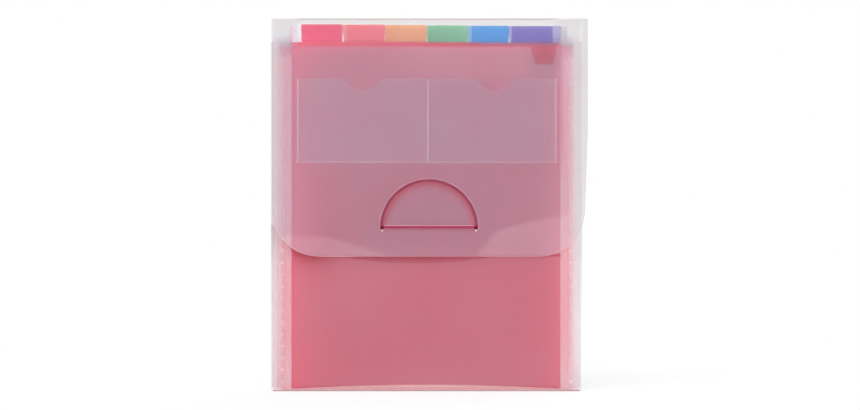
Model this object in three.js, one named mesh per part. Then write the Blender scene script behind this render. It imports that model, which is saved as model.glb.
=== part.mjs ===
// Vertical expanding file folder with coloured index dividers, closed and latched.
// Millimetres, +Z up, front towards -Y. The origin is the middle of the bottom panel's underside.
import * as THREE from "three";

// Sheet thicknesses, and the gap left at every crease and weld
const COVER_T = 0.6;
const DIVIDER_T = 0.4;
const FILM_T = 0.3;
const GAP = 0.3;

// Body: letter sheets fit between the pleats and below the tabs
const BODY_W = 260;
const HEIGHT = 313;
const POCKETS = 7;
const PITCH = 5;
const FRONT_Y = (-POCKETS * PITCH) / 2;
const BACK_Y = -FRONT_Y;
const SHEET_BOTTOM = COVER_T + GAP;
const FRONT_TOP = 289.5;

// Finger notch in the front panel's top edge
const NOTCH_X = 98.7;
const NOTCH_TOP_W = 24;
const NOTCH_FOOT_W = 14.3;
const NOTCH_D = 15.1;

// Flap: a little wider than the body, and set to the right of it
const FLAP_OVERHANG = 5;
const FLAP_W = BODY_W + FLAP_OVERHANG;
const FLAP_X = FLAP_OVERHANG / 2;
const FLAP_FOOT = 113.4;
const FLAP_R = 40;
const FLAP_Y = FRONT_Y - COVER_T / 2 - GAP - FILM_T - GAP - COVER_T / 2;

// Half-moon lock: cut-out in the flap, slit in the front panel, tongue through both
const LOCK_X = 1.1;
const LOCK_Z = 137;
const CUTOUT_R = 41;
const KERF = 2.5;
const TONGUE_R = CUTOUT_R - KERF;
const TONGUE_DROP = 0.8;
const TONGUE_FOOT = LOCK_Z - TONGUE_DROP;
const SLIT_H = 2.6;
const SLIT_W = 2 * CUTOUT_R;

// Card pockets on the front panel
const CARD_W = 218;
const CARD_FOOT = 192;
const CARD_TOP = 262.7;
const THUMB_X = 55.5;
const THUMB_R = 16.5;
const THUMB_D = 10;

// Dividers and their index tabs
const DIVIDER_W = 249;
const DIVIDER_FOOT = 2.5;
const DIVIDER_ARCH = 3.4;
const DIVIDER_TOP = 293.5;
const TAB_TOP = 308;
const TAB_W = 34;
const TAB_STEP = 35.1;
const TAB_START = -105;
const TAB_R = 2;
const TAB_SLANT = 1;
const END_TAB_EXTRA = 7.5;
const DIVIDER_COUNT = POCKETS - 1;

// Side pleats: a flat margin on each sheet, and a fold between them
const MARGIN_IN = 113.5;
const WELD_X = 120.5;
const PLEAT_FOOT = 1.6;
const PLEAT_TOP = 291.5;
const NOSE = 1;

const FROST = 0xe6e7ea;
const TINTS = [0xd8455f, 0xf0705f, 0xe39a54, 0x63b487, 0x3f8fd9, 0x6f5fb8];

const folder = new THREE.Group();

function add(name, geometry, colour, opacity) {
  const material = new THREE.MeshStandardMaterial({ color: colour, roughness: 0.45 });
  material.opacity = opacity;
  material.transparent = opacity < 1;
  const mesh = new THREE.Mesh(geometry, material);
  mesh.name = name;
  folder.add(mesh);
}

// A flat upright sheet: the outline is drawn in X and Z, and y is the middle of its thickness.
function upright(outline, y, thickness) {
  const geometry = new THREE.ExtrudeGeometry(outline, {
    depth: thickness,
    bevelEnabled: false,
    curveSegments: 20,
  });
  geometry.rotateX(Math.PI / 2);
  geometry.translate(0, y + thickness / 2, 0);
  return geometry;
}

// A flat level sheet with its underside at z, from one depth to another.
function level(width, middle, front, back, z) {
  const geometry = new THREE.BoxGeometry(width, back - front, COVER_T);
  geometry.translate(middle, (front + back) / 2, z + COVER_T / 2);
  return geometry;
}

// A closed body through a list of rings that have the same number of corners.
function loft(rings) {
  const points = rings.flat();
  const corners = rings[0].length;
  const last = points.length - corners;
  const faces = [];
  for (let start = 0; start < last; start += corners) {
    for (let i = 0; i < corners; i += 1) {
      const a = start + i;
      const b = start + ((i + 1) % corners);
      faces.push(a, b, b + corners, a, b + corners, a + corners);
    }
  }
  for (let i = 1; i + 1 < corners; i += 1) {
    faces.push(0, i + 1, i, last, last + i, last + i + 1);
  }
  const geometry = new THREE.BufferGeometry().setFromPoints(points);
  geometry.setIndex(faces);
  geometry.computeVertexNormals();
  return geometry;
}

// Both sides of an open path of 2-D points, each half a thickness away, with mitred corners.
function sides(path, thickness) {
  const across = path.slice(1).map((p, i) => {
    const along = p.clone().sub(path[i]).normalize();
    return new THREE.Vector2(-along.y, along.x);
  });
  const offset = path.map((p, i) => {
    const before = across[Math.max(i - 1, 0)];
    const after = across[Math.min(i, across.length - 1)];
    const middle = before.clone().add(after).normalize();
    return middle.multiplyScalar(thickness / 2 / middle.dot(before));
  });
  return {
    left: path.map((p, i) => p.clone().add(offset[i])),
    right: path.map((p, i) => p.clone().sub(offset[i])),
  };
}

// Cover: bottom panel, back panel and the front panel with its notch and slit
const coverEdge = FRONT_Y - COVER_T / 2;
add("cover_bottom", level(BODY_W - 2, 0, coverEdge, -coverEdge, 0), FROST, 0.55);

const back = new THREE.Shape();
back.moveTo(-BODY_W / 2, SHEET_BOTTOM);
back.lineTo(BODY_W / 2, SHEET_BOTTOM);
back.lineTo(BODY_W / 2, HEIGHT - COVER_T - GAP);
back.lineTo(-BODY_W / 2, HEIGHT - COVER_T - GAP);
add("cover_back", upright(back, BACK_Y, COVER_T), FROST, 0.55);

const frontHalf = BODY_W / 2 - 0.5;
const front = new THREE.Shape();
front.moveTo(-frontHalf, SHEET_BOTTOM);
front.lineTo(frontHalf, SHEET_BOTTOM);
front.lineTo(frontHalf, FRONT_TOP);
front.lineTo(NOTCH_X + NOTCH_TOP_W / 2, FRONT_TOP);
front.lineTo(NOTCH_X + NOTCH_FOOT_W / 2, FRONT_TOP - NOTCH_D);
front.lineTo(NOTCH_X - NOTCH_FOOT_W / 2, FRONT_TOP - NOTCH_D);
front.lineTo(NOTCH_X - NOTCH_TOP_W / 2, FRONT_TOP);
front.lineTo(-frontHalf, FRONT_TOP);
const slit = new THREE.Path();
const slitEnd = (SLIT_W - SLIT_H) / 2;
const slitZ = LOCK_Z + SLIT_H / 2;
slit.absarc(LOCK_X + slitEnd, slitZ, SLIT_H / 2, -Math.PI / 2, Math.PI / 2, false);
slit.absarc(LOCK_X - slitEnd, slitZ, SLIT_H / 2, Math.PI / 2, (3 * Math.PI) / 2, false);
front.holes.push(slit);
add("cover_front", upright(front, FRONT_Y, COVER_T), FROST, 0.55);

// Top spine and flap: the flap hangs from the spine's front edge
const flapFace = FLAP_Y - COVER_T / 2;
const spine = level(FLAP_W, FLAP_X, flapFace, BACK_Y + COVER_T / 2, HEIGHT - COVER_T);
add("top_spine", spine, FROST, 0.55);

const flapL = FLAP_X - FLAP_W / 2;
const flapR = FLAP_X + FLAP_W / 2;
const flap = new THREE.Shape();
flap.moveTo(flapL, HEIGHT - COVER_T - GAP);
flap.lineTo(flapL, FLAP_FOOT + FLAP_R);
flap.absarc(flapL + FLAP_R, FLAP_FOOT + FLAP_R, FLAP_R, Math.PI, 1.5 * Math.PI, false);
flap.absarc(flapR - FLAP_R, FLAP_FOOT + FLAP_R, FLAP_R, 1.5 * Math.PI, 2 * Math.PI, false);
flap.lineTo(flapR, HEIGHT - COVER_T - GAP);
const cutout = new THREE.Path();
cutout.moveTo(LOCK_X - CUTOUT_R, TONGUE_FOOT - GAP);
cutout.lineTo(LOCK_X + CUTOUT_R, TONGUE_FOOT - GAP);
cutout.absarc(LOCK_X, LOCK_Z, CUTOUT_R, 0, Math.PI, false);
flap.holes.push(cutout);
add("flap", upright(flap, FLAP_Y, COVER_T), FROST, 0.55);

// Lock tongue: bends back at its foot, through the slit, and lies behind the front panel
const tuckedY = FRONT_Y + COVER_T + GAP;
const bend = tuckedY - FLAP_Y;
const bendZ = slitZ - bend / 2;
const tonguePath = [
  new THREE.Vector2(FLAP_Y, TONGUE_FOOT),
  new THREE.Vector2(FLAP_Y, bendZ),
  new THREE.Vector2(tuckedY, bendZ + bend),
];
const ARC_STEPS = 18;
const firstTurn = Math.asin((bendZ + bend + 1 - LOCK_Z) / TONGUE_R);
for (let i = 0; i < ARC_STEPS; i += 1) {
  const turn = firstTurn + ((Math.PI / 2 - firstTurn) * i) / ARC_STEPS;
  tonguePath.push(new THREE.Vector2(tuckedY, LOCK_Z + TONGUE_R * Math.sin(turn)));
}
const tongueSides = sides(tonguePath, COVER_T);
const tongueRings = tonguePath.map((p, i) => {
  const rise = Math.max(p.y - LOCK_Z, 0);
  const half = Math.sqrt(TONGUE_R * TONGUE_R - rise * rise);
  const near = tongueSides.left[i];
  const far = tongueSides.right[i];
  return [
    new THREE.Vector3(LOCK_X - half, near.x, near.y),
    new THREE.Vector3(LOCK_X + half, near.x, near.y),
    new THREE.Vector3(LOCK_X + half, far.x, far.y),
    new THREE.Vector3(LOCK_X - half, far.x, far.y),
  ];
});
add("lock_tongue", loft(tongueRings), FROST, 0.55);

// Card pocket sheet with two thumb notches in its top edge
const chord = Math.acos((THUMB_R - THUMB_D) / THUMB_R);
const thumbZ = CARD_TOP + THUMB_R - THUMB_D;
const card = new THREE.Shape();
card.moveTo(-CARD_W / 2, CARD_FOOT);
card.lineTo(CARD_W / 2, CARD_FOOT);
card.lineTo(CARD_W / 2, CARD_TOP);
for (const x of [THUMB_X, -THUMB_X]) {
  const turn = -Math.PI / 2;
  card.absarc(x, thumbZ, THUMB_R, turn + chord, turn - chord, true);
}
card.lineTo(-CARD_W / 2, CARD_TOP);
const cardY = FRONT_Y - COVER_T / 2 - GAP - FILM_T / 2;
add("card_pockets", upright(card, cardY, FILM_T), FROST, 0.5);

// Dividers: an arched foot, and one index tab each, stepped from left to right
for (let k = 1; k <= DIVIDER_COUNT; k += 1) {
  const half = DIVIDER_W / 2;
  const left = TAB_START + (k - 1) * TAB_STEP;
  const right = left + TAB_W + (k === DIVIDER_COUNT ? END_TAB_EXTRA : 0);
  const sheet = new THREE.Shape();
  sheet.moveTo(-half, DIVIDER_FOOT);
  sheet.quadraticCurveTo(0, DIVIDER_FOOT + 2 * DIVIDER_ARCH, half, DIVIDER_FOOT);
  sheet.lineTo(half, DIVIDER_TOP);
  sheet.lineTo(right, DIVIDER_TOP);
  sheet.lineTo(right + TAB_SLANT, TAB_TOP - TAB_R);
  sheet.quadraticCurveTo(right + TAB_SLANT, TAB_TOP, right + TAB_SLANT - TAB_R, TAB_TOP);
  sheet.lineTo(left - TAB_SLANT + TAB_R, TAB_TOP);
  sheet.quadraticCurveTo(left - TAB_SLANT, TAB_TOP, left - TAB_SLANT, TAB_TOP - TAB_R);
  sheet.lineTo(left, DIVIDER_TOP);
  sheet.lineTo(-half, DIVIDER_TOP);
  add(`divider_${k}`, upright(sheet, FRONT_Y + k * PITCH, DIVIDER_T), TINTS[k - 1], 0.85);
}

// Side pleats: one folded strip on each side of each pocket
for (let k = 1; k <= POCKETS; k += 1) {
  const before = k === 1 ? COVER_T : DIVIDER_T;
  const behind = k === POCKETS ? COVER_T : DIVIDER_T;
  const y0 = FRONT_Y + (k - 1) * PITCH + before / 2 + GAP + FILM_T / 2;
  const y1 = FRONT_Y + k * PITCH - behind / 2 - GAP - FILM_T / 2;
  const fold = BODY_W / 2 - FILM_T / 2;
  const middle = (y0 + y1) / 2;
  for (const [side, sign] of [["right", 1], ["left", -1]]) {
    const path = [
      new THREE.Vector2(sign * MARGIN_IN, y0),
      new THREE.Vector2(sign * WELD_X, y0),
      new THREE.Vector2(sign * fold, middle - NOSE / 2),
      new THREE.Vector2(sign * fold, middle + NOSE / 2),
      new THREE.Vector2(sign * WELD_X, y1),
      new THREE.Vector2(sign * MARGIN_IN, y1),
    ];
    const faces = sides(path, FILM_T);
    const profile = new THREE.Shape([...faces.left, ...faces.right.reverse()]);
    const strip = new THREE.ExtrudeGeometry(profile, {
      depth: PLEAT_TOP - PLEAT_FOOT,
      bevelEnabled: false,
    });
    strip.translate(0, 0, PLEAT_FOOT);
    add(`pleat_${side}_${k}`, strip, FROST, 0.5);
  }
}

export default folder;
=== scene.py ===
import bpy
import numpy as np
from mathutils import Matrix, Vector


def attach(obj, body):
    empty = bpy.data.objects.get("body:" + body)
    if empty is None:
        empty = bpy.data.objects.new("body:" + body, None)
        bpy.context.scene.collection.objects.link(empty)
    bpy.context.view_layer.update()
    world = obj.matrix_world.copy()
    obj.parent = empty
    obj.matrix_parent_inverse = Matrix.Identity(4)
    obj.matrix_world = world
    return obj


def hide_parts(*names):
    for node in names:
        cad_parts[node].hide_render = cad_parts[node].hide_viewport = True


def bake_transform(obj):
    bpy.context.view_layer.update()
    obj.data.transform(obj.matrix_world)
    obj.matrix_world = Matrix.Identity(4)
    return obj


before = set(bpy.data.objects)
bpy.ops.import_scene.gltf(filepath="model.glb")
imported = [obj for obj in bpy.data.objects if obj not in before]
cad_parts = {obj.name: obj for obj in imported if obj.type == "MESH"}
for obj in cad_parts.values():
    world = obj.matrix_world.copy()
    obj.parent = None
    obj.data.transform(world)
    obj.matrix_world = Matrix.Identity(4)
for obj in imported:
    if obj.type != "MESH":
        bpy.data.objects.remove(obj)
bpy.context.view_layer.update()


# Back panel of the cover: one wall of a frosted polypropylene sheet, 0.6 mm thick.
# The sheet is extruded, embossed with a fine matt grain and cut flat.
# It stands upright, and the floor of the folder is creased from its foot.
MM = 0.001
SHEET = 0.6
SHARP_EDGE = np.radians(40)
COVER_HALF, COVER_HIGH = 130.0, 313.0
BACK_Y, BACK_FOOT, BACK_TOP, BACK_BELLY = 17.5, 1.1, 312.4, 0.5
WELD_LEFT, WELD_RIGHT = -113.6, 112.5
COVER_HAZE, COVER_DARK, COVER_LIGHT = 0.11, (0.42, 0.41, 0.50), (0.48, 0.47, 0.57)
EDGE_SHEEN = (0.96, 0.96, 0.98)


def ruled(x, foot, top, rows, depth):
    """A sheet ruled between two edges: each column x climbs from foot to top in even steps, or by the
    shares given in place of a count, and depth(x, z) says how far back each point lies."""
    share = np.linspace(0, 1, rows) if np.isscalar(rows) else rows
    foot, top = np.broadcast_to(foot, x.shape), np.broadcast_to(top, x.shape)
    across = np.repeat(x[:, None], len(share), axis=1)
    height = foot[:, None] * (1 - share) + top[:, None] * share
    return np.stack([across, depth(across, height), height], axis=-1)


def joined(grids):
    """Grids of points as one skin: every cell is a four-cornered face, and points
    that fall in the same hundredth of a millimetre become one."""
    points = np.concatenate([g.reshape(-1, 3) for g in grids])
    starts = np.cumsum([0] + [g.shape[0] * g.shape[1] for g in grids])
    cells = []
    for grid, start in zip(grids, starts):
        n = start + np.arange(grid.shape[0] * grid.shape[1]).reshape(grid.shape[:2])
        cells.append(np.stack([n[:-1, :-1], n[1:, :-1], n[1:, 1:], n[:-1, 1:]], -1))
    cells = np.concatenate([c.reshape(-1, 4) for c in cells])
    key = np.round(points * 100).astype(np.int64)
    _, first, index = np.unique(key, axis=0, return_index=True, return_inverse=True)
    return points[first], index.reshape(-1)[cells]


def into_scene(name, points, faces, finish):
    """A mesh object from points in millimetres, smooth but for edges sharper than 40 degrees."""
    mesh = bpy.data.meshes.new(name)
    mesh.from_pydata((points * MM).tolist(), [], faces)
    mesh.validate()
    mesh.shade_smooth()
    mesh.set_sharp_from_angle(angle=SHARP_EDGE)
    mesh.materials.append(finish)
    piece = bpy.data.objects.new(name, mesh)
    bpy.context.scene.collection.objects.link(piece)
    return piece


def sheet(name, grids, thick, finish):
    """A sheet of even thickness: the joined skin moves half the thickness along its
    own normals to both sides, and a wall of faces closes every free edge."""
    skin, cells = joined(grids)
    facing = np.cross(skin[cells[:, 2]] - skin[cells[:, 0]], skin[cells[:, 3]] - skin[cells[:, 1]])
    normal = np.zeros_like(skin)
    np.add.at(normal, cells.ravel(), np.repeat(facing, 4, axis=0))
    normal /= np.linalg.norm(normal, axis=1, keepdims=True)
    edges = np.stack([cells, np.roll(cells, -1, axis=1)], -1).reshape(-1, 2)
    _, which, uses = np.unique(np.sort(edges, axis=1), axis=0, return_inverse=True, return_counts=True)
    free = edges[uses[which.reshape(-1)] == 1]
    rear = len(skin)
    wall = np.stack([free[:, 1], free[:, 0], free[:, 0] + rear, free[:, 1] + rear], -1)
    points = np.concatenate([skin + normal * thick / 2, skin - normal * thick / 2])
    faces = np.concatenate([cells, cells[:, ::-1] + rear, wall])
    return into_scene(name, points, faces.tolist(), finish)


def marked(piece, name, amount):
    """Writes amount(x, y, z), in millimetres, on every point of the piece as an attribute."""
    at = np.empty(len(piece.data.vertices) * 3)
    piece.data.vertices.foreach_get("co", at)
    x, y, z = at.reshape(-1, 3).T / MM
    value = piece.data.attributes.new(name, "FLOAT", "POINT")
    value.data.foreach_set("value", np.broadcast_to(amount(x, y, z), x.shape).astype(np.float32))


def rise(over, span):
    """Climbs evenly from 0 to 1 as over goes from 0 to span, and stays level before and after."""
    return np.clip(over / span, 0, 1)


def node(tree, kind, **inputs):
    """One node: each named input takes a link where it is given a socket, or else a value. An underscore
    stands for a space in the input's name, and i with a number for its place."""
    made = tree.nodes.new(kind)
    for key, value in inputs.items():
        place = int(key[1:]) if key[0] == "i" and key[1:].isdigit() else key.replace("_", " ")
        if isinstance(value, bpy.types.NodeSocket):
            tree.links.new(value, made.inputs[place])
        else:
            made.inputs[place].default_value = value
    return made


def sum_of(tree, how, first, second):
    """One Math node, such as ADD or MULTIPLY, on two sockets or numbers."""
    made = node(tree, "ShaderNodeMath", i0=first, i1=second)
    made.operation = how
    return made.outputs[0]


def shades(tree, by, dark, light):
    """A colour that runs from dark to light as a socket goes from 0 to 1."""
    made = node(tree, "ShaderNodeValToRGB", Fac=by)
    made.color_ramp.elements[0].color = (*dark, 1)
    made.color_ramp.elements[1].color = (*light, 1)
    return made.outputs["Color"]


def turned(tree, by, colour, other):
    """A colour socket that turns to another colour as a socket goes from 0 to 1."""
    made = node(tree, "ShaderNodeMix", i0=by, i6=colour, i7=(*other, 1))
    made.data_type = "RGBA"
    return made.outputs[2]


def painted(tree, attribute):
    """The value of one of the piece's own attributes."""
    made = node(tree, "ShaderNodeAttribute")
    made.attribute_name = attribute
    return made.outputs["Fac"]


def blank_finish(name):
    """A material with an empty node tree, and the tree."""
    finish = bpy.data.materials.new(name)
    finish.use_nodes = True
    finish.node_tree.nodes.clear()
    return finish, finish.node_tree


def matt_grain(tree, scale, detail, grain, matt):
    """Soft clouds, a roughness that follows them by 0.04 about matt, and a fine raised grain."""
    place = node(tree, "ShaderNodeTexCoord").outputs["Object"]
    clouds = node(tree, "ShaderNodeTexNoise", Vector=place, Scale=scale, Detail=detail).outputs["Fac"]
    dust = node(tree, "ShaderNodeTexNoise", Vector=place, Scale=grain, Detail=2.0).outputs["Fac"]
    rough = node(tree, "ShaderNodeMapRange", Value=clouds, To_Min=matt - 0.04, To_Max=matt + 0.04)
    raised = node(tree, "ShaderNodeBump", Strength=0.04, Distance=0.00012, Height=dust)
    return clouds, rough.outputs["Result"], raised.outputs["Normal"]


def patches(tree, clouds, low, high):
    """A value that follows the clouds from low, where they are thin, to high, where they are thick."""
    return node(tree, "ShaderNodeMapRange", Value=clouds, From_Min=0.3, From_Max=0.7,
                To_Min=low, To_Max=high).outputs["Result"]


def frosted(name, haze, dark, light, turns=(), grain=1100.0, gloss=0.0):
    """Frosted sheet: a thin veil of matt colour over what lies behind, cloudier or clearer in soft patches,
    times one plus the piece's own veil attribute, with a fine raised grain. turns holds pairs of an
    attribute and the colour that the veil turns to as it nears 1. Glossy film also gets a painted sheen: it
    whitens by the square of how far it is seen edge on."""
    finish, tree = blank_finish(name)
    clouds, matt, raised = matt_grain(tree, 16.0, 3.0, grain, 0.48)
    more = sum_of(tree, "ADD", painted(tree, "veil"), 1.0)
    cover = sum_of(tree, "MULTIPLY", patches(tree, clouds, haze * 0.92, haze * 1.08), more)
    colour = shades(tree, clouds, dark, light)
    for attribute, other in turns:
        colour = turned(tree, painted(tree, attribute), colour, other)
    if gloss:
        # Painted sheen: colour and veil turn white as the film is seen edge on.
        facing = node(tree, "ShaderNodeLayerWeight", Blend=0.5).outputs["Facing"]
        edge_on = sum_of(tree, "MULTIPLY", facing, facing)
        colour = turned(tree, edge_on, colour, EDGE_SHEEN)
        cover = sum_of(tree, "ADD", cover, sum_of(tree, "MULTIPLY", edge_on, gloss))
    skin = node(tree, "ShaderNodeBsdfPrincipled", Base_Color=colour, Roughness=matt, Alpha=cover,
                Normal=raised)
    node(tree, "ShaderNodeOutputMaterial", Surface=skin.outputs["BSDF"])
    return finish


def clear_sides(x, y, z):
    """The grain is pressed clear where the pleats are welded on, and half comes back beyond the welds."""
    beyond = np.interp(np.abs(x), [121, 128], [-0.85, -0.45])
    return np.where((x < WELD_LEFT) | (x > WELD_RIGHT), beyond, 0.0) * rise(298 - z, 8)


def under_fold(x, z):
    """1 close under the top fold, between the two corners, down to 0 over 4 mm and 8 mm."""
    return rise(z - 305, 4) * rise(112 - np.abs(x), 8)


def back_lie(x, z):
    """The wall lies at 17.5 mm and bellies out by up to 0.5 mm, most at mid height."""
    return BACK_Y + BACK_BELLY * np.cos(np.pi * x / (2 * COVER_HALF)) * np.sin(np.pi * z / COVER_HIGH)


cover_finish = frosted("frosted_cover", COVER_HAZE, COVER_DARK, COVER_LIGHT)
weld_edges = np.array([-125.4, -125.0, WELD_LEFT - 0.2, WELD_LEFT + 0.2, WELD_RIGHT - 0.2, WELD_RIGHT + 0.2,
                       125.0, 125.4])
back_x = np.unique(np.concatenate([np.linspace(-COVER_HALF, COVER_HALF, 66), weld_edges]))
back = sheet("back_panel", [ruled(back_x, BACK_FOOT, BACK_TOP, 80, back_lie)], SHEET, cover_finish)
marked(back, "veil", lambda x, y, z: clear_sides(x, y, z) - 0.3 * under_fold(x, z))
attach(back, "back")
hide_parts("cover_back")


# Floor of the cover: the same sheet, creased up into the back wall and the front wall.
# The rear fold is a rounded score that stays put; the front fold is a pressed round rib
# on the line that the front panel swings about.
FLOOR_HALF, FLOOR_FRONT, FLOOR_REAR, FLOOR_Z = 129.0, -17.3, 16.7, 0.3
REAR_SCORE_Y, REAR_SCORE_Z, REAR_SCORE_RADIUS = 16.6, 1.2, 0.9
FRONT_Y, FRONT_FOLD_Z, FRONT_FOLD_RADIUS = -17.5, 0.62, 0.6


def level(x, y, z):
    """A level sheet: every x with every y, all at the height z."""
    return np.stack(np.broadcast_arrays(x[:, None], y[None, :], z), axis=-1)


floor_x = np.linspace(-FLOOR_HALF, FLOOR_HALF, 60)
# The floor sheet is coloured pink: painted shade, with red light thrown down from the dividers.
floor_shade_finish = frosted("floor_painted_shade", 0.12, (0.66, 0.38, 0.36), (0.74, 0.46, 0.44))
bottom = sheet("bottom_panel", [level(floor_x, np.linspace(FLOOR_FRONT, FLOOR_REAR, 12), FLOOR_Z)],
               SHEET, floor_shade_finish)
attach(bottom, "back")
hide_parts("cover_bottom")


def folded(x, bend):
    """A strip folded along x: bend gives its (y, z) profile, carried straight along x."""
    return np.stack(np.broadcast_arrays(x[:, None], bend[:, 0], bend[:, 1]), axis=-1)


def bent(y, z, radius, start, end):
    """The profile of a rounded fold: nine (y, z) points on a circle about (y, z), between two angles."""
    a = np.linspace(start, end, 9)
    return np.stack([y + radius * np.cos(a), z + radius * np.sin(a)], axis=-1)


rear_score = bent(REAR_SCORE_Y, REAR_SCORE_Z, REAR_SCORE_RADIUS, -np.pi / 2, 0)
rear_fold = sheet("rear_bottom_fold", [folded(floor_x, rear_score)], SHEET, cover_finish)
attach(rear_fold, "back")


def rib(name, spine, side, up, round_about, finish, ends=True):
    """A rib: a closed outline (columns of round_about, in the side and up directions) carried along
    the spine points. The two ends are capped, or joined to each other for a ring."""
    n, m = len(spine), len(round_about)
    sideways, upwards = round_about[None, :, :1], round_about[None, :, 1:]
    points = spine[:, None] + sideways * side[:, None] + upwards * up[:, None]
    i, j = np.meshgrid(np.arange(n - 1 if ends else n), np.arange(m), indexing="ij")
    after, beside = (i + 1) % n, (j + 1) % m
    walls = np.stack([i * m + j, i * m + beside, after * m + beside, after * m + j], -1).reshape(-1, 4)
    caps = [list(range(m - 1, -1, -1)), list(range((n - 1) * m, n * m))] if ends else []
    return into_scene(name, points.reshape(-1, 3), walls.tolist() + caps, finish)


def straight_rib(name, half, y, z, radius, finish):
    """A round rod along x, from -half to half, its middle at (y, z)."""
    spine = np.stack(np.broadcast_arrays(np.linspace(-half, half, 40), y, z), axis=-1)
    a = np.linspace(0, 2 * np.pi, 13)[:-1]
    ring = radius * np.stack([np.cos(a), np.sin(a)], axis=-1)
    side = np.broadcast_to([0.0, 1.0, 0.0], spine.shape)
    up = np.broadcast_to([0.0, 0.0, 1.0], spine.shape)
    return rib(name, spine, side, up, ring, finish)


# The front fold is dark pink: painted shade where the folder meets the floor, with red light from the
# dividers.
bottom_fold_shade_finish = frosted("bottom_fold_painted_shade", 0.85, (0.47, 0.25, 0.26), (0.55, 0.33, 0.34))
front_fold = straight_rib("front_bottom_fold", FLOOR_HALF, FRONT_Y, FRONT_FOLD_Z, FRONT_FOLD_RADIUS,
                          bottom_fold_shade_finish)
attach(front_fold, "front")


# Pleated sides: fourteen strips of thin clear film, each folded once to a soft V.
# Every strip joins two neighbouring sheets of the fan, and its flat edges are spot welded,
# which leaves them whiter than the free film between.
FILM = 0.3
POCKET = 5.0
PLEAT_FOOT, PLEAT_TOP, PLEAT_BEND, PLEAT_REACH = 1.6, 299.2, 120.5, 9.35
PLEAT_SOFT, SOFT_LEAST = 0.015, 0.1225
DIVIDER_GAP, COVER_GAP = 0.65, 0.75
PLEAT_GLOSS, WELD_WHITE, TOP_SHADE = 0.3, (0.95, 0.91, 0.96), (0.58, 0.44, 0.54)
# The film's colours are painted light: each strip is tinted by the dividers on either side of it, pink at
# the front and blue to purple at the rear.
PLEAT_BOUNCE_TINTS = [
    (0.008, (0.84, 0.32, 0.42), (0.92, 0.40, 0.50)),
    (0.008, (0.86, 0.30, 0.38), (0.94, 0.38, 0.46)),
    (0.006, (0.88, 0.44, 0.38), (0.96, 0.52, 0.46)),
    (0.003, (0.82, 0.70, 0.56), (0.90, 0.78, 0.64)),
    (0.003, (0.56, 0.76, 0.80), (0.64, 0.84, 0.88)),
    (0.003, (0.54, 0.60, 0.86), (0.62, 0.68, 0.94)),
    (0.003, (0.64, 0.62, 0.84), (0.72, 0.70, 0.92)),
]


def welded(x, y, z):
    """1 where the film is welded flat, down to 0 out at the fold and above the top of the front panel."""
    left = np.interp(-x, [119, 122, 125], [1, 0.5, 0])
    right = np.interp(x, [121, 123, 125], [1, 0.6, 0])
    return np.where(x < 0, left, right) * rise(290 - z, 9)


def filmy(x, y, z):
    """How thick the film looks: most where it is welded flat, little on the free legs, and more along the
    crest of the fold, where it is bent hard. It is a third thicker at the foot, thinner inside the upper
    right weld, and thins out to nothing over the last 9 mm at the top."""
    left = np.interp(-x, [113.5, 118.5, 121.0, 123.0, 125.0, 127.0, 129.0],
                     [12.5, 14.0, 10.5, 8.5, 7.5, 4.5, 2.0])
    right = np.interp(x, [112.4, 119.0, 121.5, 123.0, 124.0, 125.5, 129.0],
                      [13.5, 13.5, 11.0, 7.0, 4.5, 2.2, 0.9])
    right *= 1 - 0.6 * rise(z - 180, 30) * rise(117 - x, 4)
    crest = np.where(x < 0, 7.0, 2.0) * rise(np.abs(x) - 128.8, 0.9)
    foot = 1 + 0.35 * rise(45 - z, 35)
    return (1 + np.where(x < 0, left, right) * foot + crest) * rise(PLEAT_TOP + 0.5 - z, 9) - 1


def pleat(front_y, rear_y, way):
    """A V strip: flat from the inner end of the weld to 120.5 mm, then out to the fold, 9.35 mm further, by
    one minus the softened size of a share running from -1 to 1, and back. way is the side, and z runs up,
    in finer steps over the last 10 mm."""
    seat = np.linspace(-WELD_LEFT if way < 0 else WELD_RIGHT, PLEAT_BEND, 5)[:-1]
    share = np.linspace(-1, 1, 25)
    soft = (np.sqrt(share ** 2 + PLEAT_SOFT) - SOFT_LEAST) / (np.sqrt(1 + PLEAT_SOFT) - SOFT_LEAST)
    x = np.concatenate([seat, PLEAT_BEND + PLEAT_REACH * (1 - soft), seat[::-1]])
    y = np.concatenate([seat * 0 + front_y, (front_y + rear_y) / 2 + (rear_y - front_y) / 2 * share,
                        seat * 0 + rear_y])
    z = np.concatenate([np.linspace(PLEAT_FOOT, PLEAT_TOP - 10, 30), PLEAT_TOP - np.arange(9.0, -1, -1.5)])
    return np.stack(np.broadcast_arrays(way * x[:, None], y[:, None], z[None, :]), axis=-1)


sheets_y = FRONT_Y + POCKET * np.arange(8)
for k, (haze, dark, light) in enumerate(PLEAT_BOUNCE_TINTS, start=1):
    film = frosted(f"pleat_film_{k}", haze, dark, light, gloss=PLEAT_GLOSS,
                   turns=[("weld", WELD_WHITE), ("shade", TOP_SHADE)])
    front_y = sheets_y[k - 1] + (COVER_GAP if k == 1 else DIVIDER_GAP)
    rear_y = sheets_y[k] - (COVER_GAP if k == 7 else DIVIDER_GAP)
    for side, way in (("left", -1), ("right", 1)):
        strip = sheet(f"side_pleat_{side}_{k}", [pleat(front_y, rear_y, way)], FILM, film)
        marked(strip, "veil", filmy)
        marked(strip, "weld", welded)
        marked(strip, "shade", lambda x, y, z: rise(z - 284, 9))
        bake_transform(strip)
        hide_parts(f"pleat_{side}_{k}")


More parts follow.
